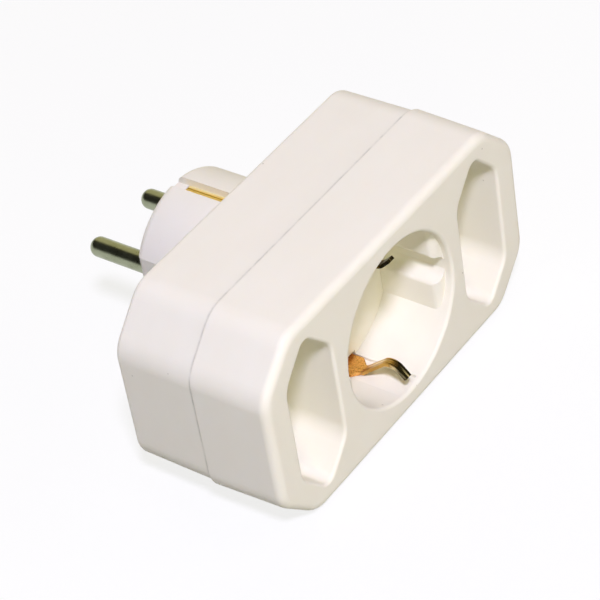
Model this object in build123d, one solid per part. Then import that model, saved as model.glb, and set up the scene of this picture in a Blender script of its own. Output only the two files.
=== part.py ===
from build123d import *
from math import radians, sqrt, tan
import os

# Plug-in adapter: an earthed round socket between two flat two-pin sockets, with an earthed plug behind.
# The pieces are drawn in a working frame that starts in the middle of the round socket's mouth: X runs along
# the body, Y is the depth behind the front face, Z runs across the body. Millimetres and degrees.

# Body: a long box with its four corners cut off, in two shells that meet at a seam
body_depth = 39.0
seam_depth = 19.0
side_margin = 5.6
end_margin = 7.95
corner_cut = 10.4
corner_radius = 7.6
front_edge_radius = 2.0
rear_edge_radius = 1.2
seam_edge_radius = 0.3
front_draft = 1.4
rear_draft = 0.3
shell_step = 0.4
shell_wall = 2.2
lip_height = 2.0
lip_thickness = 1.3
lip_clearance = 0.15

# Pins of the plug, and the same pins in the sockets
pin_spacing = 19.0
pin_diameter = 4.8
pin_length = 19.5
pin_tip_radius = 2.1
pin_hole_clearance = 0.3

# Round socket: a well with flat guide pads left and right and recesses for the earth clips above and below
socket_diameter = 39.6
socket_depth = 17.5
socket_rim_radius = 0.8
socket_floor = 2.5
socket_wall = 1.8
guide_height = 3.4
guide_setback = 2.1
guide_edge_radius = 1.8
guide_groove_radius = 3.6
guide_groove_edge_radius = 1.0
earth_recess_depth = 0.5
earth_recess_width = 7.0
earth_recess_start = 1.3
earth_block_width = 12.0

# Flat two-pin sockets: wells with two straight sides and two pointed ends
socket_web = 4.35
flat_socket_margin = 4.4
flat_socket_width = 15.8
flat_socket_straight = 25.2
flat_socket_depth = 15.0
flat_socket_side_radius = 6.0
flat_socket_end_radius = 2.5

# Plug nose: a round cup with two flats, a guide ridge on each flat and a slot for each earth leg
nose_clearance = 1.2
nose_length = 19.6
nose_rim_radius = 2.0
nose_wall = 2.2
nose_end = 3.0
nose_flat_height = 2.2
nose_ridge_radius = 2.8
nose_slot_width = 3.4
pin_boss_wall = 1.6
pin_shank_diameter = 5.4
pin_press = 0.02

# Sheet metal: the earth bows, the rails and the fork contacts
bow_thickness = 0.8
bow_width = 6.0
bow_clearance = 0.2
bow_bend_radius = 1.0
clip_tip_depth = 0.8
clip_tip_reach = 2.9
clip_hump_depth = 4.6
clip_hump_reach = 6.7
clip_hump_radius = 3.2
clip_root_depth = 12.6
clip_root_radius = 1.5
clip_tip_width = 1.8
clip_root_width = 2.6
clip_shoulder_setback = 0.4
clip_shoulder_length = 1.8
leg_recess = 2.0
leg_width = 5.6
rail_thickness = 0.8
rail_width = 5.0
rail_overhang = 4.4
branch_width = 6.4
branch_drop = 4.4
branch_offset = 5.2
branch_reach = 3.4
contact_thickness = 0.6
contact_width = 5.5
contact_grip = 4.6
contact_base = 6.4
contact_mouth = 8.2
contact_mouth_length = 3.0
contact_mouth_gap = 1.0
contact_bend_radius = 0.8

# Rivets, collars and screws
collar_diameter = 7.4
collar_length = 2.0
spigot_diameter = 3.0
spigot_head_diameter = 4.6
rivet_diameter = 2.4
rivet_head_diameter = 4.4
rivet_head_height = 0.8
rivet_clearance = 0.05
pocket_clearance = 0.2
peg_diameter = 2.4
peg_offset = 21.0
screw_diameter = 2.9
screw_length = 14.0
screw_head_diameter = 5.6
screw_head_height = 2.0
screw_recess = 2.6
screw_seat = 2.4
screw_clearance = 0.3
thread_clearance = 0.05
screw_boss_wall = 2.3
screw_cross_width = 0.9
screw_cross_length = 3.2
screw_cross_depth = 1.2

# How far a cut runs past the face that it opens
overcut = 1.0

body_width = socket_diameter + 2 * side_margin
flat_socket_offset = socket_diameter / 2 + socket_web + flat_socket_width / 2
flat_socket_length = body_width - 2 * flat_socket_margin
body_length = 2 * (flat_socket_offset + flat_socket_width / 2 + end_margin)
guide_distance = socket_diameter - 2 * guide_height
nose_diameter = socket_diameter - 2 * nose_clearance
nose_flat_distance = nose_diameter - 2 * nose_flat_height
leg_distance = nose_diameter - 2 * leg_recess
socket_floor_back = socket_depth + socket_floor
flat_floor_back = flat_socket_depth + socket_floor
nose_face = body_depth + nose_length
nose_inner_end = nose_face - nose_end
overall_depth = nose_face + pin_length
pin_x = pin_spacing / 2
rail_z = pin_spacing / 2
hole_radius = pin_diameter / 2 + pin_hole_clearance
rear_inner_face = body_depth - shell_wall
rail_front = rear_inner_face - rail_thickness
branch_front = rail_front + branch_drop
collar_front = branch_front + rail_thickness
boss_front = collar_front + collar_length
clip_shoulder_depth = clip_root_depth + clip_shoulder_setback
clip_tip_height = socket_diameter / 2 - clip_tip_reach
clip_hump_height = socket_diameter / 2 - clip_hump_reach
recess_line = socket_diameter / 2 + earth_recess_depth
bow_line = recess_line - bow_clearance - bow_thickness / 2
bow_depth = socket_floor_back + bow_thickness / 2
yoke_depth = bow_depth + bow_thickness
leg_line = leg_distance / 2 - bow_thickness / 2
screw_tip = body_depth - screw_recess - screw_length
boss_joint = body_depth - screw_recess - screw_seat
screw_boss_radius = screw_diameter / 2 + screw_clearance + screw_boss_wall
both_sides = (-1, 1)


def at_depth(depth):
    """Plane across the body at a depth; its sketches read as (X, Z)."""
    return Plane.XZ.offset(-depth)


def slab(outline, start, end):
    """Outline drawn in X and Z, made solid between two depths."""
    return extrude(at_depth(end) * outline, amount=end - start)


def barrel(radius, x, z, start, end):
    """Round bar or hole along the depth."""
    return slab(Pos(x, z) * Circle(radius), start, end)


def strip(path, thickness, width, x=0.0):
    """Sheet-metal strip: a path drawn in depth and Z, given a thickness and a width along X."""
    return extrude(Plane.YZ.offset(x) * trace(path, thickness), amount=width / 2, both=True)


def half_turn(piece):
    """The same piece turned half round about the depth axis through the middle of the body."""
    return Rot(0, 180, 0) * piece


def octagon(length, width, inset):
    """Rectangle with cut and rounded corners, pulled in all round by the inset."""
    cut = corner_cut - inset * (2 - sqrt(2))
    half_x = length / 2 - inset
    half_z = width / 2 - inset
    corner = [(half_x, half_z - cut), (half_x - cut, half_z)]
    left = [(-x, z) for x, z in reversed(corner)]
    points = corner + left + [(-x, -z) for x, z in corner] + [(-x, -z) for x, z in left]
    outline = Polygon(*points, align=None)
    return fillet(outline.vertices(), corner_radius - inset)


def front_outline(depth, inset):
    """Outline of the front shell at a depth, which narrows towards the front face."""
    shrink = (seam_depth - depth) * tan(radians(front_draft))
    return at_depth(depth) * octagon(body_length - 2 * shrink, body_width - 2 * shrink, inset)


def rear_outline(depth, inset):
    """Outline of the rear shell at a depth, which narrows towards the back and is set in at the seam."""
    shrink = shell_step + (depth - seam_depth) * tan(radians(rear_draft))
    return at_depth(depth) * octagon(body_length - 2 * shrink, body_width - 2 * shrink, inset)


def drafted(outline, start, end, inset=0.0):
    """Solid between two depths of a drafted outline."""
    return loft([outline(start, inset), outline(end, inset)], ruled=True)


def flat_socket_outline():
    """Long hexagon of a flat socket, with tighter rounding at its two ends than along its sides."""
    half_x = flat_socket_width / 2
    half_z = flat_socket_length / 2
    straight = flat_socket_straight / 2
    right = [(half_x, -straight), (half_x, straight), (0, half_z)]
    points = right + [(-x, -z) for x, z in right]
    outline = Polygon(*points, align=None)
    ends = outline.vertices().filter_by(lambda corner: abs(corner.X) < half_x / 2)
    outline = fillet(ends, flat_socket_end_radius)
    sides = outline.vertices().filter_by(lambda corner: abs(corner.X) > half_x / 2)
    return fillet(sides, flat_socket_side_radius)


def guide_pads():
    """Flat pads left and right in the round well, each with a round groove and rounded leading edges."""
    room = Rectangle(guide_distance, socket_diameter)
    for side in both_sides:
        room += Pos(side * guide_distance / 2, 0) * Circle(guide_groove_radius)
    groove_edges = room.vertices().filter_by(lambda corner: abs(corner.Y) < socket_diameter / 4)
    section = Circle(socket_diameter / 2) - fillet(groove_edges, guide_groove_edge_radius)
    pads = slab(section, guide_setback, socket_depth)
    length = socket_depth - guide_setback
    plan = Rectangle(2 * socket_diameter, 2 * length) - Rectangle(guide_distance, 2 * length)
    leading_edges = plan.vertices().filter_by(lambda corner: abs(corner.X) < socket_diameter / 2)
    plan = Pos(0, socket_depth) * fillet(leading_edges, guide_edge_radius)
    return pads & extrude(plan, amount=socket_diameter, both=True)


def round_well():
    """Room inside the round socket, between its guide pads."""
    return barrel(socket_diameter / 2, 0, 0, -overcut, socket_depth) - guide_pads()


def flat_well(side):
    """Room inside a flat socket."""
    return slab(Pos(side * flat_socket_offset, 0) * flat_socket_outline(), -overcut, flat_socket_depth)


def pin_holes():
    """Holes in the socket floors for the plugs that go in."""
    round_span = (socket_depth - overcut, socket_floor_back + overcut)
    flat_span = (flat_socket_depth - overcut, flat_floor_back + overcut)
    holes = []
    for side in both_sides:
        holes.append(barrel(hole_radius, side * pin_x, 0, *round_span))
        for level in both_sides:
            holes.append(barrel(hole_radius, side * flat_socket_offset, level * rail_z, *flat_span))
    return holes


def earth_recesses():
    """Recesses along the round well's wall and through its floor for the two clips of the earth bow."""
    inner = bow_line - bow_thickness / 2 - bow_bend_radius
    opening = Rectangle(earth_recess_width, recess_line - inner)
    recesses = []
    for side in both_sides:
        place = Pos(0, side * (inner + recess_line) / 2)
        recesses.append(slab(place * opening, earth_recess_start, socket_floor_back + overcut))
    return recesses


def socket_cups():
    """Outside of the three wells and of the blocks behind the earth clips."""
    block = Rectangle(earth_block_width, body_width - 2 * shell_wall)
    cups = slab(Circle(socket_diameter / 2 + socket_wall) + block, shell_wall / 2, socket_floor_back)
    for side in both_sides:
        wall = Pos(side * flat_socket_offset, 0) * offset(flat_socket_outline(), socket_wall)
        cups += slab(wall, shell_wall / 2, flat_floor_back)
    return cups


def front_shell():
    """Moulded front half: outer wall, three wells, screw bosses and the lip that centres the rear half."""
    outer = drafted(front_outline, 0, seam_depth)
    outer = fillet(outer.faces().sort_by(Axis.Y)[0].edges(), front_edge_radius)
    outer = fillet(outer.faces().sort_by(Axis.Y)[-1].edges(), seam_edge_radius)
    shell = outer - drafted(front_outline, shell_wall, seam_depth + overcut, shell_wall) + socket_cups()
    lip_inset = shell_wall / 2 + lip_clearance
    lip_start = seam_depth - lip_height
    lip_end = seam_depth + lip_height
    lip = drafted(rear_outline, lip_start, lip_end, lip_inset)
    shell += lip - drafted(rear_outline, lip_start - overcut, lip_end + overcut, lip_inset + lip_thickness)
    pilot_radius = screw_diameter / 2 + thread_clearance
    for side in both_sides:
        x = side * flat_socket_offset
        shell += barrel(screw_boss_radius, x, 0, flat_socket_depth + overcut, boss_joint)
        shell -= barrel(pilot_radius, x, 0, screw_tip - overcut, boss_joint + overcut)
    wells = [round_well()] + [flat_well(side) for side in both_sides]
    for well in wells:
        shell -= well
    front_face = shell.faces().sort_by(Axis.Y)[0]
    rims = [edge for wire in front_face.inner_wires() for edge in wire.edges()]
    shell = fillet(rims, socket_rim_radius)
    pocket_radius = rivet_head_diameter / 2 + pocket_clearance
    pocket_depth = rivet_head_height + pocket_clearance
    shell -= barrel(pocket_radius, 0, 0, socket_floor_back - pocket_depth, socket_floor_back + overcut)
    for cut in pin_holes() + earth_recesses():
        shell -= cut
    return shell


def nose_outline(inset):
    """Section of the plug nose without its guide ridges, pulled in by the inset."""
    return Circle(nose_diameter / 2 - inset) & Rectangle(nose_flat_distance - 2 * inset, nose_diameter)


def nose_ridges():
    """Section of the two guide ridges, which reach out to the nose's full round."""
    ridges = Sketch()
    for side in both_sides:
        ridges += Pos(side * (nose_diameter / 2 - nose_ridge_radius), 0) * Circle(nose_ridge_radius)
    return ridges


def rear_shell():
    """Moulded rear half: outer wall, plug nose, pin bosses, screw bosses and the rails' pegs."""
    outer = drafted(rear_outline, seam_depth, body_depth)
    outer = fillet(outer.faces().sort_by(Axis.Y)[-1].edges(), rear_edge_radius)
    nose = slab(nose_outline(0) + nose_ridges(), rear_inner_face, nose_face)
    nose = fillet(nose.faces().sort_by(Axis.Y)[-1].edges(), nose_rim_radius)
    shell = outer + nose
    shell -= drafted(rear_outline, seam_depth - overcut, rear_inner_face, shell_wall)
    lip_room = seam_depth + lip_height + lip_clearance
    shell -= drafted(rear_outline, seam_depth - overcut, lip_room, shell_wall / 2)
    leg_room = Rectangle(leg_width + 2 * bow_clearance, leg_distance)
    hollow = slab(nose_outline(nose_wall) + leg_room, rear_inner_face - overcut, nose_inner_end)
    boss_radius = pin_shank_diameter / 2 + pin_boss_wall
    for side in both_sides:
        hollow -= barrel(boss_radius, side * pin_x, 0, boss_front, nose_inner_end)
    shell -= hollow
    slot = Rectangle(nose_slot_width, nose_diameter)
    shell -= slab(slot - Rectangle(nose_slot_width, leg_distance), body_depth, nose_face + overcut)
    for side in both_sides:
        shank_room = pin_shank_diameter / 2 + pin_press
        shell -= barrel(shank_room, side * pin_x, 0, boss_front - overcut, nose_face + overcut)
        x = side * flat_socket_offset
        shell += barrel(screw_boss_radius, x, 0, boss_joint, rear_inner_face)
        shell -= barrel(screw_diameter / 2 + screw_clearance, x, 0, boss_joint - overcut, body_depth)
        head_room = screw_head_diameter / 2 + screw_clearance
        shell -= barrel(head_room, x, 0, body_depth - screw_recess, body_depth + overcut)
        for level in both_sides:
            z = level * rail_z
            room = rivet_head_diameter / 2 + pocket_clearance
            depth = rear_inner_face + rivet_head_height + pocket_clearance
            shell -= barrel(room, x, z, rear_inner_face - overcut, depth)
            shell += barrel(peg_diameter / 2, side * peg_offset, z, rail_front, rear_inner_face)
    return shell


def pin(side):
    """Turned plug pin: round tip, thicker shank in its boss, collar, and a spigot riveted over inside."""
    x = side * pin_x
    prong = barrel(pin_diameter / 2, x, 0, nose_face - overcut, overall_depth)
    prong = fillet(prong.faces().sort_by(Axis.Y)[-1].edges(), pin_tip_radius)
    shank = barrel(pin_shank_diameter / 2, x, 0, collar_front, nose_face)
    head_back = branch_front - contact_thickness
    spigot = barrel(spigot_diameter / 2, x, 0, head_back - rivet_head_height, collar_front)
    head = barrel(spigot_head_diameter / 2, x, 0, head_back - rivet_head_height, head_back)
    return prong + shank + barrel(collar_diameter / 2, x, 0, collar_front, boss_front) + spigot + head


def upper_rail():
    """Stamped rail along the body, with a branch folded back into the nose to the left pin."""
    length = 2 * (flat_socket_offset + rail_overhang)
    rail = slab(Pos(0, rail_z) * Rectangle(length, rail_width), rail_front, rear_inner_face)
    middle = rail_front + rail_thickness / 2
    drop = branch_front + rail_thickness / 2
    route = [(middle, rail_z), (middle, branch_offset), (drop, branch_offset), (drop, -branch_reach)]
    rail += strip(FilletPolyline(*route, radius=bow_bend_radius), rail_thickness, branch_width, -pin_x)
    spigot_room = spigot_diameter / 2 + rivet_clearance
    rail -= barrel(spigot_room, -pin_x, 0, branch_front - overcut, collar_front + overcut)
    rivet_room = rivet_diameter / 2 + rivet_clearance
    peg_room = peg_diameter / 2 + rivet_clearance
    for side in both_sides:
        rail -= barrel(rivet_room, side * flat_socket_offset, rail_z, rail_front, rear_inner_face)
        rail -= barrel(peg_room, side * peg_offset, rail_z, rail_front, rear_inner_face)
    return rail


def fork(mouth_depth, base_depth, hole_diameter):
    """Folded fork contact on the depth axis: flared mouth, two spring legs and a base with a rivet hole."""
    middle = base_depth - contact_thickness / 2
    grip = (contact_grip + contact_thickness) / 2
    upper = [
        (mouth_depth, contact_mouth / 2),
        (mouth_depth + contact_mouth_length, grip),
        (middle, contact_base / 2),
    ]
    route = upper + [(depth, -z) for depth, z in reversed(upper)]
    contact = strip(FilletPolyline(*route, radius=contact_bend_radius), contact_thickness, contact_width)
    hole = barrel(hole_diameter / 2 + rivet_clearance, 0, 0, middle - overcut, middle + overcut)
    return contact - hole


def round_contact(side):
    """Fork behind a hole of the round socket, riveted together with the rail by the pin's spigot."""
    contact = fork(socket_floor_back + contact_mouth_gap, branch_front, spigot_diameter)
    return Pos(side * pin_x, 0, 0) * contact


def flat_contact(side, level):
    """Fork behind a hole of a flat socket, its legs left and right of the pin."""
    contact = fork(flat_floor_back + contact_mouth_gap, rail_front, rivet_diameter)
    return Pos(side * flat_socket_offset, 0, level * rail_z) * Rot(0, 90, 0) * contact


def rivet(x, z, start, end):
    """Rivet through sheets between two depths, with a flat head at each end."""
    shank = barrel(rivet_diameter / 2, x, z, start, end)
    front = barrel(rivet_head_diameter / 2, x, z, start - rivet_head_height, start)
    back = barrel(rivet_head_diameter / 2, x, z, end, end + rivet_head_height)
    return shank + front + back


def contact_rivets():
    """Four rivets that hold the flat sockets' forks on the rails."""
    start = rail_front - contact_thickness
    places = [(side * flat_socket_offset, level * rail_z) for side in both_sides for level in both_sides]
    return Compound([rivet(x, z, start, rear_inner_face).solid() for x, z in places])


def socket_earth_bow():
    """Spring bow behind the round socket; each end narrows to a clip that humps towards the plug."""
    upper = [
        (clip_tip_depth, clip_tip_height),
        (clip_hump_depth, clip_hump_height),
        (clip_root_depth, bow_line),
        (bow_depth, bow_line),
    ]
    route = upper + [(depth, -z) for depth, z in reversed(upper)]
    radii = [clip_hump_radius, clip_root_radius, bow_bend_radius]
    bow = strip(FilletPolyline(*route, radius=radii + radii[::-1]), bow_thickness, bow_width)
    half_plan = [
        (clip_tip_width / 2, clip_tip_depth - overcut),
        (clip_root_width / 2, clip_shoulder_depth),
        (bow_width / 2, clip_shoulder_depth + clip_shoulder_length),
        (bow_width / 2, bow_depth + overcut),
    ]
    plan = Polygon(*half_plan, *[(-x, depth) for x, depth in reversed(half_plan)], align=None)
    bow &= extrude(plan, amount=body_width, both=True)
    return bow - barrel(rivet_diameter / 2 + rivet_clearance, 0, 0, socket_floor_back, bow_depth + overcut)


def plug_earth_bow():
    """Bow with two straight legs that show in the slots of the plug nose."""
    leg_end = nose_inner_end - bow_clearance
    route = [(leg_end, leg_line), (yoke_depth, leg_line), (yoke_depth, -leg_line), (leg_end, -leg_line)]
    bow = strip(FilletPolyline(*route, radius=bow_bend_radius), bow_thickness, leg_width)
    return bow - barrel(rivet_diameter / 2 + rivet_clearance, 0, 0, bow_depth, yoke_depth + overcut)


def earth_rivet():
    """Rivet that joins the two earth bows behind the round socket's floor."""
    return rivet(0, 0, socket_floor_back, yoke_depth + bow_thickness / 2)


def shell_screws():
    """Two screws from the back into the front shell's bosses."""
    seat = body_depth - screw_recess
    screws = []
    for side in both_sides:
        x = side * flat_socket_offset
        head = barrel(screw_head_diameter / 2, x, 0, seat, seat + screw_head_height)
        screw = head + barrel(screw_diameter / 2, x, 0, screw_tip, seat)
        slot = Rectangle(screw_cross_length, screw_cross_width)
        top = seat + screw_head_height
        screw -= slab(Pos(x, 0) * (slot + Rot(0, 0, 90) * slot), top - screw_cross_depth, top + overcut)
        screws.append(screw.solid())
    return Compound(screws)


def build_pieces():
    """All pieces of the adapter by name, in the working frame."""
    rail = upper_rail()
    pieces = {
        "front_shell": front_shell(),
        "rear_shell": rear_shell(),
        "left_pin": pin(-1),
        "right_pin": pin(1),
        "upper_rail": rail,
        "lower_rail": half_turn(rail),
        "round_left_contact": round_contact(-1),
        "round_right_contact": round_contact(1),
        "contact_rivets": contact_rivets(),
        "socket_earth_bow": socket_earth_bow(),
        "plug_earth_bow": plug_earth_bow(),
        "earth_rivet": earth_rivet(),
        "shell_screws": shell_screws(),
    }
    for level_name, level in (("upper", 1), ("lower", -1)):
        for side_name, side in (("left", -1), ("right", 1)):
            pieces[f"{level_name}_{side_name}_contact"] = flat_contact(side, level)
    return pieces


# The finished adapter lies on its lower long side, with its middle over the origin and its pins towards +Y
standing = Pos(0, -overall_depth / 2, body_width / 2)
os.makedirs("parts", exist_ok=True)
for name, piece in build_pieces().items():
    export_step(standing * piece, f"parts/{name}.step")
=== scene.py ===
import bpy
from mathutils import Matrix, Vector


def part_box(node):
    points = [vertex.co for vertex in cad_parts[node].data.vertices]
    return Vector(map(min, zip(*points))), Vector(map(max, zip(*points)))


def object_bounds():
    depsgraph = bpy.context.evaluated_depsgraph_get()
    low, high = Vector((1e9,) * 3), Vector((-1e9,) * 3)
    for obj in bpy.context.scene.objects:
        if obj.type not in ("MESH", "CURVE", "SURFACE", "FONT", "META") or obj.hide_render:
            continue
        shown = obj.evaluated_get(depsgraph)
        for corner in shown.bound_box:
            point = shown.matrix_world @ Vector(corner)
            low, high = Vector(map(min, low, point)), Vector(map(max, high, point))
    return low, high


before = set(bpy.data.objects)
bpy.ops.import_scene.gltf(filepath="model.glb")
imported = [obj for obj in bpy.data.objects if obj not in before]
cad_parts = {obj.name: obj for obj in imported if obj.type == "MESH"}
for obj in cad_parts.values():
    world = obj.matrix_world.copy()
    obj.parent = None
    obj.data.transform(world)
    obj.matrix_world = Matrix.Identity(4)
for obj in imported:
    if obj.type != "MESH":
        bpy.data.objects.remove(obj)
cad_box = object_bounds()

# Rails and fork contacts: stamped from brass strip and folded, the forks riveted to the rails.
# They sit behind the sockets inside the body, and only the forks' mouths can be seen, down the pin holes.
BRASS = (0.80, 0.58, 0.20)
BRASS_DULL = (0.56, 0.38, 0.12)
STRIP_DULL_LEVEL = 0.36
STRIP_BRIGHT_LEVEL = 0.58
RAIL_LINES = (260.0, 2600.0, 2600.0)
FORK_LINES = (2600.0, 260.0, 2600.0)
NOISE_LOW = 0.3
NOISE_HIGH = 0.7


def shader_graph(name, metallic=1.0):
    """New material, of metal unless told otherwise, with its node tree, shader and object coordinates."""
    material = bpy.data.materials.new(name)
    material.use_nodes = True
    tree = material.node_tree
    shader = tree.nodes["Principled BSDF"]
    shader.inputs["Metallic"].default_value = metallic
    coordinates = tree.nodes.new("ShaderNodeTexCoord")
    return material, tree, shader, coordinates.outputs["Object"]


def noise(tree, where, scale, detail=2.0, roughness=0.5):
    """Noise pattern in the object's own space; the scale is in waves per metre."""
    pattern = tree.nodes.new("ShaderNodeTexNoise")
    pattern.inputs["Scale"].default_value = scale
    pattern.inputs["Detail"].default_value = detail
    pattern.inputs["Roughness"].default_value = roughness
    tree.links.new(where, pattern.inputs["Vector"])
    return pattern.outputs["Fac"]


def drawn_noise(tree, where, waves, detail=2.0, roughness=0.5):
    """Noise pattern drawn out to lines; the waves per metre are given for each axis."""
    mapping = tree.nodes.new("ShaderNodeMapping")
    mapping.inputs["Scale"].default_value = waves
    tree.links.new(where, mapping.inputs["Vector"])
    return noise(tree, mapping.outputs["Vector"], 1.0, detail, roughness)


def ramp(tree, value, stops):
    """Colour ramp from pairs of level and colour."""
    node = tree.nodes.new("ShaderNodeValToRGB")
    elements = node.color_ramp.elements
    while len(elements) < len(stops):
        elements.new(0.5)
    for element, (level, colour) in zip(elements, stops):
        element.position = level
        element.color = (*colour, 1.0)
    tree.links.new(value, node.inputs["Fac"])
    return node.outputs["Color"]


def between(tree, value, start, end, low=0.0, high=1.0):
    """Number that goes from low to high as a value goes from start to end, and no further."""
    node = tree.nodes.new("ShaderNodeMapRange")
    node.inputs["From Min"].default_value = start
    node.inputs["From Max"].default_value = end
    node.inputs["To Min"].default_value = low
    node.inputs["To Max"].default_value = high
    tree.links.new(value, node.inputs["Value"])
    return node.outputs["Result"]


def spread(tree, pattern, low, high):
    """The usual range of a noise pattern, spread between two numbers."""
    return between(tree, pattern, NOISE_LOW, NOISE_HIGH, low, high)


def bump(tree, shader, height, distance, strength):
    """Fine relief on the shader's normal; the distance is in metres."""
    node = tree.nodes.new("ShaderNodeBump")
    node.inputs["Distance"].default_value = distance
    node.inputs["Strength"].default_value = strength
    tree.links.new(height, node.inputs["Height"])
    tree.links.new(node.outputs["Normal"], shader.inputs["Normal"])


def strip_metal(name, bright, dull, waves):
    """Rolled sheet metal: dull cloudy patches and fine rolling lines along the strip."""
    material, tree, shader, where = shader_graph(name)
    clouds = noise(tree, where, scale=180.0, detail=4.0, roughness=0.6)
    tint = ramp(tree, clouds, [(STRIP_DULL_LEVEL, dull), (STRIP_BRIGHT_LEVEL, bright)])
    tree.links.new(tint, shader.inputs["Base Color"])
    lines = drawn_noise(tree, where, waves, detail=3.0, roughness=0.6)
    tree.links.new(spread(tree, lines, low=0.24, high=0.42), shader.inputs["Roughness"])
    bump(tree, shader, lines, distance=0.00002, strength=0.5)
    return material


def dress(node_name, material):
    """Gives a piece of the adapter its material."""
    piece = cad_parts[node_name]
    piece.data.materials.clear()
    piece.data.materials.append(material)


rail_brass = strip_metal("rail_brass", BRASS, BRASS_DULL, RAIL_LINES)
contact_brass = strip_metal("contact_brass", BRASS, BRASS_DULL, FORK_LINES)
for rail in ("upper_rail", "lower_rail"):
    dress(rail, rail_brass)
for row in ("round", "upper", "lower"):
    for side in ("left", "right"):
        dress(f"{row}_{side}_contact", contact_brass)

# Rivets: soft brass, set with a plain flat head. Four hold the forks on the rails,
# and one holds the two earth bows together behind the round socket.
HEAD_GRAIN = (900.0, 900.0, 900.0)

rivet_brass = strip_metal("rivet_brass", BRASS, BRASS_DULL, HEAD_GRAIN)
for rivets in ("contact_rivets", "earth_rivet"):
    dress(rivets, rivet_brass)

# Plug pins: turned from brass bar and nickel plated, with a round tip, pressed into the nose.
# The plating is dark and a little yellow, with the fine rings that turning leaves.
NICKEL = (0.380, 0.410, 0.295)
NICKEL_DULL = (0.280, 0.305, 0.200)
PLATE_DULL_LEVEL = 0.35
PLATE_BRIGHT_LEVEL = 0.62
TURNED_RINGS = (120.0, 5200.0, 120.0)

nickel, tree, shader, where = shader_graph("nickel_plate")
clouds = noise(tree, where, scale=220.0, detail=4.0, roughness=0.6)
tint = ramp(tree, clouds, [(PLATE_DULL_LEVEL, NICKEL_DULL), (PLATE_BRIGHT_LEVEL, NICKEL)])
tree.links.new(tint, shader.inputs["Base Color"])
tree.links.new(spread(tree, clouds, low=0.25, high=0.34), shader.inputs["Roughness"])
bump(tree, shader, drawn_noise(tree, where, TURNED_RINGS), distance=0.00001, strength=0.35)
for side in ("left", "right"):
    dress(f"{side}_pin", nickel)

# Earth bow of the round socket: one spring strip of copper alloy behind the floor, each end folded up
# through the floor into a recess of the wall and bent to a clip. A clip is bright grainy copper at its
# root, gold-brown along its arm and nearly black at its tip, with painted highlight streaks along the
# strip.
COPPER = (0.98, 0.54, 0.17)
COPPER_GRAIN = (0.62, 0.27, 0.05)
GOLD_BROWN = (0.66, 0.40, 0.10)
# nearly black towards the tip of the clip
TIP_BLACK = (0.020, 0.016, 0.008)
# painted highlight: pale streaks that stand in for the metal's reflection along the strip
STREAK_HIGHLIGHT = (0.95, 0.84, 0.52)
ROLLING_DARK = (0.10, 0.055, 0.012)
CLIP_LINES = (2300.0, 90.0, 90.0)
TIP_FROM_END = 0.00023
ROOT_FROM_END = 0.01543
BLOTCH_SHARE = 0.22


def laid_over(tree, under, over, share):
    """One colour or pattern laid over another, as far as the share says."""
    node = tree.nodes.new("ShaderNodeMix")
    node.data_type = "RGBA"
    tree.links.new(share, node.inputs["Factor"])
    for layer, socket in ((under, node.inputs["A"]), (over, node.inputs["B"])):
        if isinstance(layer, tuple):
            socket.default_value = (*layer, 1.0)
        else:
            tree.links.new(layer, socket)
    return node.outputs["Result"]


def share_of(tree, pattern, start, end, before, after):
    """How far a layer covers: one share before the pattern's start level, another after its end level."""
    return ramp(tree, pattern, [(start, (before, before, before)), (end, (after, after, after))])


def worked_out(tree, operation, *terms):
    """Result of an operation on patterns and plain numbers."""
    node = tree.nodes.new("ShaderNodeMath")
    node.operation = operation
    for term, socket in zip(terms, node.inputs):
        if isinstance(term, float):
            socket.default_value = term
        else:
            tree.links.new(term, socket)
    return node.outputs["Value"]


def depth_at(tree, where):
    """Place along the adapter's depth, from the front face towards the pins."""
    split = tree.nodes.new("ShaderNodeSeparateXYZ")
    tree.links.new(where, split.inputs["Vector"])
    return split.outputs["Y"]


clip_copper, tree, shader, where = shader_graph("clip_copper")
clip_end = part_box("socket_earth_bow")[0].y
along = between(tree, depth_at(tree, where), clip_end + TIP_FROM_END, clip_end + ROOT_FROM_END)
clouds = noise(tree, where, scale=420.0, detail=4.0, roughness=0.65)
place = worked_out(tree, "MULTIPLY_ADD", clouds, BLOTCH_SHARE, along)
grain = noise(tree, where, scale=2600.0, detail=3.0, roughness=0.6)
lines = drawn_noise(tree, where, CLIP_LINES)
grainy = share_of(tree, grain, start=0.38, end=0.52, before=0.8, after=0.0)
darkened = share_of(tree, lines, start=0.36, end=0.46, before=0.9, after=0.0)
blackened_tip = share_of(tree, place, start=0.27, end=0.38, before=1.0, after=0.0)
# painted highlight streaks along the arm and the tip
highlight_streaked = share_of(tree, lines, start=0.58, end=0.66, before=0.0, after=0.9)
at_root = share_of(tree, place, start=0.84, end=0.96, before=0.0, after=1.0)
root = laid_over(tree, COPPER, COPPER_GRAIN, grainy)
arm = laid_over(tree, GOLD_BROWN, ROLLING_DARK, darkened)
arm = laid_over(tree, arm, TIP_BLACK, blackened_tip)
arm = laid_over(tree, arm, STREAK_HIGHLIGHT, highlight_streaked)
tree.links.new(laid_over(tree, arm, root, at_root), shader.inputs["Base Color"])
tree.links.new(spread(tree, lines, low=0.22, high=0.40), shader.inputs["Roughness"])
bump(tree, shader, lines, distance=0.00002, strength=0.5)
dress("socket_earth_bow", clip_copper)

# Earth bow of the plug: a brass strip riveted to the other bow, its two legs laid in the slots of the nose.
# Only a narrow bright face of each leg shows between the walls of its slot, with lines drawn along it.
LEG_DARK = (0.66, 0.42, 0.06)
LEG_BRASS = (1.0, 0.80, 0.26)
LEG_BRIGHT = (1.0, 0.94, 0.58)
LEG_LINES = (1500.0, 25.0, 25.0)
LEG_STOPS = [(0.38, LEG_DARK), (0.46, LEG_BRASS), (0.54, LEG_BRASS), (0.61, LEG_BRIGHT)]

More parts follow.
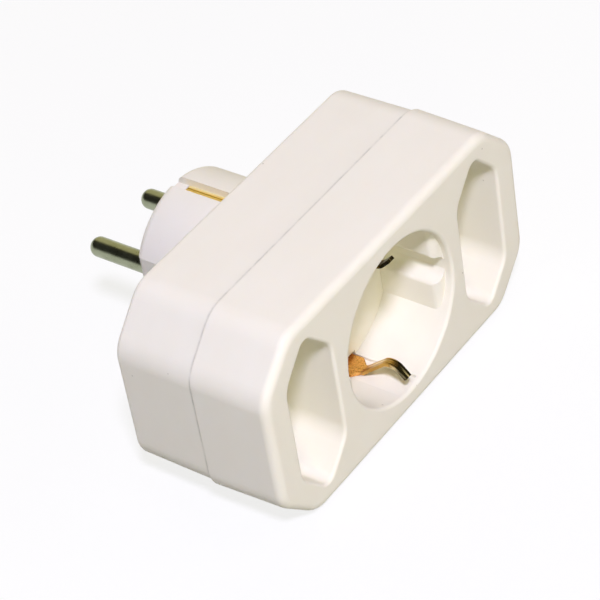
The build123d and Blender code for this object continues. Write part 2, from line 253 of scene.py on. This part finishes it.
leg_brass, tree, shader, where = shader_graph("leg_brass")
lines = drawn_noise(tree, where, LEG_LINES)
tree.links.new(ramp(tree, lines, LEG_STOPS), shader.inputs["Base Color"])
tree.links.new(spread(tree, lines, low=0.52, high=0.66), shader.inputs["Roughness"])
bump(tree, shader, lines, distance=0.00003, strength=0.5)
dress("plug_earth_bow", leg_brass)

# Rear shell: the back half of the body and the plug's nose, moulded in one piece from ivory plastic.
# The surface is satin, with faint cloudy flow marks, the fine grain of the mould and a few dark specks.
# Shade is painted along the seam: a broken dark line on the rear half, just behind the edge of the front
# half.
IVORY = (0.872, 0.846, 0.748)
IVORY_WARM = (0.862, 0.833, 0.728)
WARM_LEVEL = 0.35
IVORY_LEVEL = 0.65
FLOW_MARKS = (45.0, 99.0, 45.0)
SCUFF = (0.790, 0.757, 0.650)
SPECK = (0.40, 0.38, 0.30)
SPECK_SPACING = 0.0075
SPECK_RADIUS = 0.00028
SPECK_CORE_RADIUS = 0.000168
SPECK_SHARE = 0.55
GLOSS = 0.25
GLOW_SHARE = 0.12
GLOW_DEPTH = 0.0015
GLOW_BY_COLOUR = (1.0, 0.75, 0.5)
# painted shade along the seam, behind the step of the front half
SEAM_SHADE_COLOUR = (0.36, 0.35, 0.29)
SHADE_FULL = 0.00035
SHADE_REACH = 0.00075
SHADE_SHARE = 0.55


def moulded_plastic(name):
    """Satin moulded plastic; gives its parts back, so that a shell can add to its colour."""
    material, tree, shader, where = shader_graph(name, metallic=0.0)
    flow = drawn_noise(tree, where, FLOW_MARKS, detail=3.0)
    tint = ramp(tree, flow, [(WARM_LEVEL, IVORY_WARM), (IVORY_LEVEL, IVORY)])
    rubs = noise(tree, where, scale=900.0, detail=5.0, roughness=0.7)
    scuffed = share_of(tree, rubs, start=0.66, end=0.80, before=0.0, after=0.6)
    tint = laid_over(tree, tint, SCUFF, scuffed)
    cells = tree.nodes.new("ShaderNodeTexVoronoi")
    cells.inputs["Scale"].default_value = 1 / SPECK_SPACING
    tree.links.new(where, cells.inputs["Vector"])
    core = SPECK_CORE_RADIUS / SPECK_SPACING
    rim = SPECK_RADIUS / SPECK_SPACING
    specked = share_of(tree, cells.outputs["Distance"], core, rim, before=SPECK_SHARE, after=0.0)
    tint = laid_over(tree, tint, SPECK, specked)
    grain = noise(tree, where, scale=2600.0)
    tree.links.new(spread(tree, grain, low=0.52, high=0.64), shader.inputs["Roughness"])
    bump(tree, shader, grain, distance=0.00002, strength=0.25)
    shader.inputs["Specular IOR Level"].default_value = GLOSS
    shader.inputs["Subsurface Weight"].default_value = GLOW_SHARE
    shader.inputs["Subsurface Radius"].default_value = GLOW_BY_COLOUR
    shader.inputs["Subsurface Scale"].default_value = GLOW_DEPTH
    return material, tree, shader, where, tint


rear_plastic, tree, shader, where, tint = moulded_plastic("rear_plastic")
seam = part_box("rear_shell")[0].y
# painted shade: darkest just behind the seam and fading off, broken into patches
seam_shaded = between(tree, depth_at(tree, where), seam + SHADE_FULL, seam + SHADE_REACH, SHADE_SHARE, 0.0)
patches = spread(tree, noise(tree, where, scale=260.0, detail=3.0, roughness=0.6), low=0.0, high=1.0)
seam_shade_share = worked_out(tree, "MULTIPLY", seam_shaded, patches)
tree.links.new(laid_over(tree, tint, SEAM_SHADE_COLOUR, seam_shade_share), shader.inputs["Base Color"])
dress("rear_shell", rear_plastic)

# Front shell: the front half with the three socket wells, moulded from the same ivory plastic.
# It stands a little proud of the rear half at the seam and is held from behind by two screws.
front_plastic, tree, shader, where, tint = moulded_plastic("front_plastic")
tree.links.new(tint, shader.inputs["Base Color"])
dress("front_shell", front_plastic)

# Shell screws: zinc-plated steel with a flat head and a cross recess. They are sunk in the back of the
# body and hold the front half by its two bosses.
ZINC = (0.62, 0.62, 0.60)
ZINC_DULL = (0.46, 0.46, 0.44)

dress("shell_screws", strip_metal("screw_zinc", ZINC, ZINC_DULL, HEAD_GRAIN))

# Floor and backdrop: a wide sheet of white paper under the adapter, and a low wall of the same paper far
# off all round it. Both look pale to the camera and in the metal, and the floor keeps the soft shadow.
FLOOR_HALF = 6.0
BACKDROP_HEIGHT = 0.8
BACKDROP_SIDES = 96
PAPER_GREY = (0.35, 0.35, 0.35)
PAPER_WHITE = (0.95, 0.95, 0.95)
PAPER_GLOW = 0.8

paper = bpy.data.materials.new("white_paper")
paper.use_nodes = True
tree = paper.node_tree
tree.nodes.clear()
output = tree.nodes.new("ShaderNodeOutputMaterial")
matt = tree.nodes.new("ShaderNodeBsdfDiffuse")
glow = tree.nodes.new("ShaderNodeEmission")
glow.inputs["Strength"].default_value = 1.0
rays = tree.nodes.new("ShaderNodeLightPath")
seen = rays.outputs["Is Camera Ray"]
for kind in ("Is Glossy Ray", "Is Transmission Ray"):
    seen = worked_out(tree, "MAXIMUM", seen, rays.outputs[kind])
shade = ramp(tree, seen, [(0.0, PAPER_GREY), (1.0, PAPER_WHITE)])
tree.links.new(shade, matt.inputs["Color"])
blend = tree.nodes.new("ShaderNodeMixShader")
tree.links.new(worked_out(tree, "MULTIPLY", seen, PAPER_GLOW), blend.inputs["Fac"])
tree.links.new(matt.outputs["BSDF"], blend.inputs[1])
tree.links.new(glow.outputs["Emission"], blend.inputs[2])
tree.links.new(blend.outputs["Shader"], output.inputs["Surface"])

bpy.ops.mesh.primitive_plane_add(size=2 * FLOOR_HALF, location=(0, 0, 0))
floor = bpy.context.object
floor.name = "floor"
bpy.ops.mesh.primitive_cylinder_add(
    vertices=BACKDROP_SIDES, radius=FLOOR_HALF, depth=BACKDROP_HEIGHT, end_fill_type="NOTHING",
    location=(0, 0, BACKDROP_HEIGHT / 2))
backdrop = bpy.context.object
backdrop.name = "backdrop"
for sheet in (floor, backdrop):
    sheet.data.materials.append(paper)

# Light: a small cool key lamp above the camera's left that throws crisp shadows, and wide warm lamps all
# round that fill them: a weak one on the right, two low ones in front and two behind, in a dark room.
# Directions run from the adapter to the lamp, sizes and distances are in metres, and powers are in watts.
COOL = (0.82, 0.80, 1.0)
WARM = (1.0, 0.893, 0.555)
OLIVE = (0.99, 0.965, 0.60)
PALE = (1.0, 0.96, 0.86)
LAMP_DISTANCE = 1.3
REAR_LAMP_DISTANCE = 2.2
ROOM_STRENGTH = 0.02
AIM_FROM_MIDDLE = Vector((0.0, -0.012, 0.0))
lamp_aim = (Vector(cad_box[0]) + Vector(cad_box[1])) / 2 + AIM_FROM_MIDDLE


def soft_lamp(name, direction, size, power, colour, distance=LAMP_DISTANCE, mirrored=True):
    """Round lamp that stands off from the adapter and faces it; the metal mirrors it or doesn't."""
    light = bpy.data.lights.new(name, "AREA")
    light.shape = "DISK"
    light.size = size
    light.energy = power
    light.color = colour
    lamp = bpy.data.objects.new(name, light)
    bpy.context.collection.objects.link(lamp)
    lamp.location = lamp_aim + Vector(direction).normalized() * distance
    lamp.rotation_euler = (lamp_aim - lamp.location).to_track_quat("-Z", "Y").to_euler()
    lamp.visible_glossy = mirrored


soft_lamp("key_lamp", (-0.39, -0.415, 0.822), size=0.18, power=17.1, colour=COOL)
soft_lamp("right_lamp", (0.5, -0.6, 0.6), size=0.9, power=2.2, colour=WARM)
soft_lamp("low_front_lamp", (0.0, -1.0, 0.16), size=0.4, power=1.7, colour=WARM)
soft_lamp("low_left_lamp", (-0.7, -0.7, 0.17), size=0.4, power=3.5, colour=OLIVE)
soft_lamp("back_lamp", (0.64, 0.50, 0.58), size=1.7, power=5.6, colour=WARM)
soft_lamp("rear_lamp", (0.0, 0.97, 0.13), size=0.5, power=11.5, colour=PALE,
          distance=REAR_LAMP_DISTANCE, mirrored=False)
world = bpy.data.worlds.new("room")
bpy.context.scene.world = world
world.use_nodes = True
room = world.node_tree.nodes["Background"]
room.inputs["Color"].default_value = (*WARM, 1.0)
room.inputs["Strength"].default_value = ROOM_STRENGTH

# Camera: a long lens from the front left and above, held a little askew, as in the photograph.
# Its place is in metres in the adapter's frame, and its lens and sensor are in millimetres.
CAMERA_PLACE = Vector((-0.324979, -0.300827, 0.387658))
CAMERA_RIGHT = Vector((0.568500, -0.811798, -0.133383))
CAMERA_UP = Vector((0.588403, 0.287912, 0.755572))
SENSOR_WIDTH = 36.0
LENS = 155.307
SHIFT_RIGHT = -0.01053
SHIFT_UP = -0.02110
NEAREST = 0.01

camera_data = bpy.data.cameras.new("camera")
camera_data.sensor_width = SENSOR_WIDTH
camera_data.lens = LENS
camera_data.shift_x = SHIFT_RIGHT
camera_data.shift_y = SHIFT_UP
camera_data.clip_start = NEAREST
camera = bpy.data.objects.new("camera", camera_data)
bpy.context.collection.objects.link(camera)
camera_back = CAMERA_RIGHT.cross(CAMERA_UP)
camera_turn = Matrix((CAMERA_RIGHT, CAMERA_UP, camera_back)).transposed().to_4x4()
camera.matrix_world = Matrix.Translation(CAMERA_PLACE) @ camera_turn
bpy.context.scene.camera = camera
bpy.context.scene.view_settings.view_transform = "Standard"
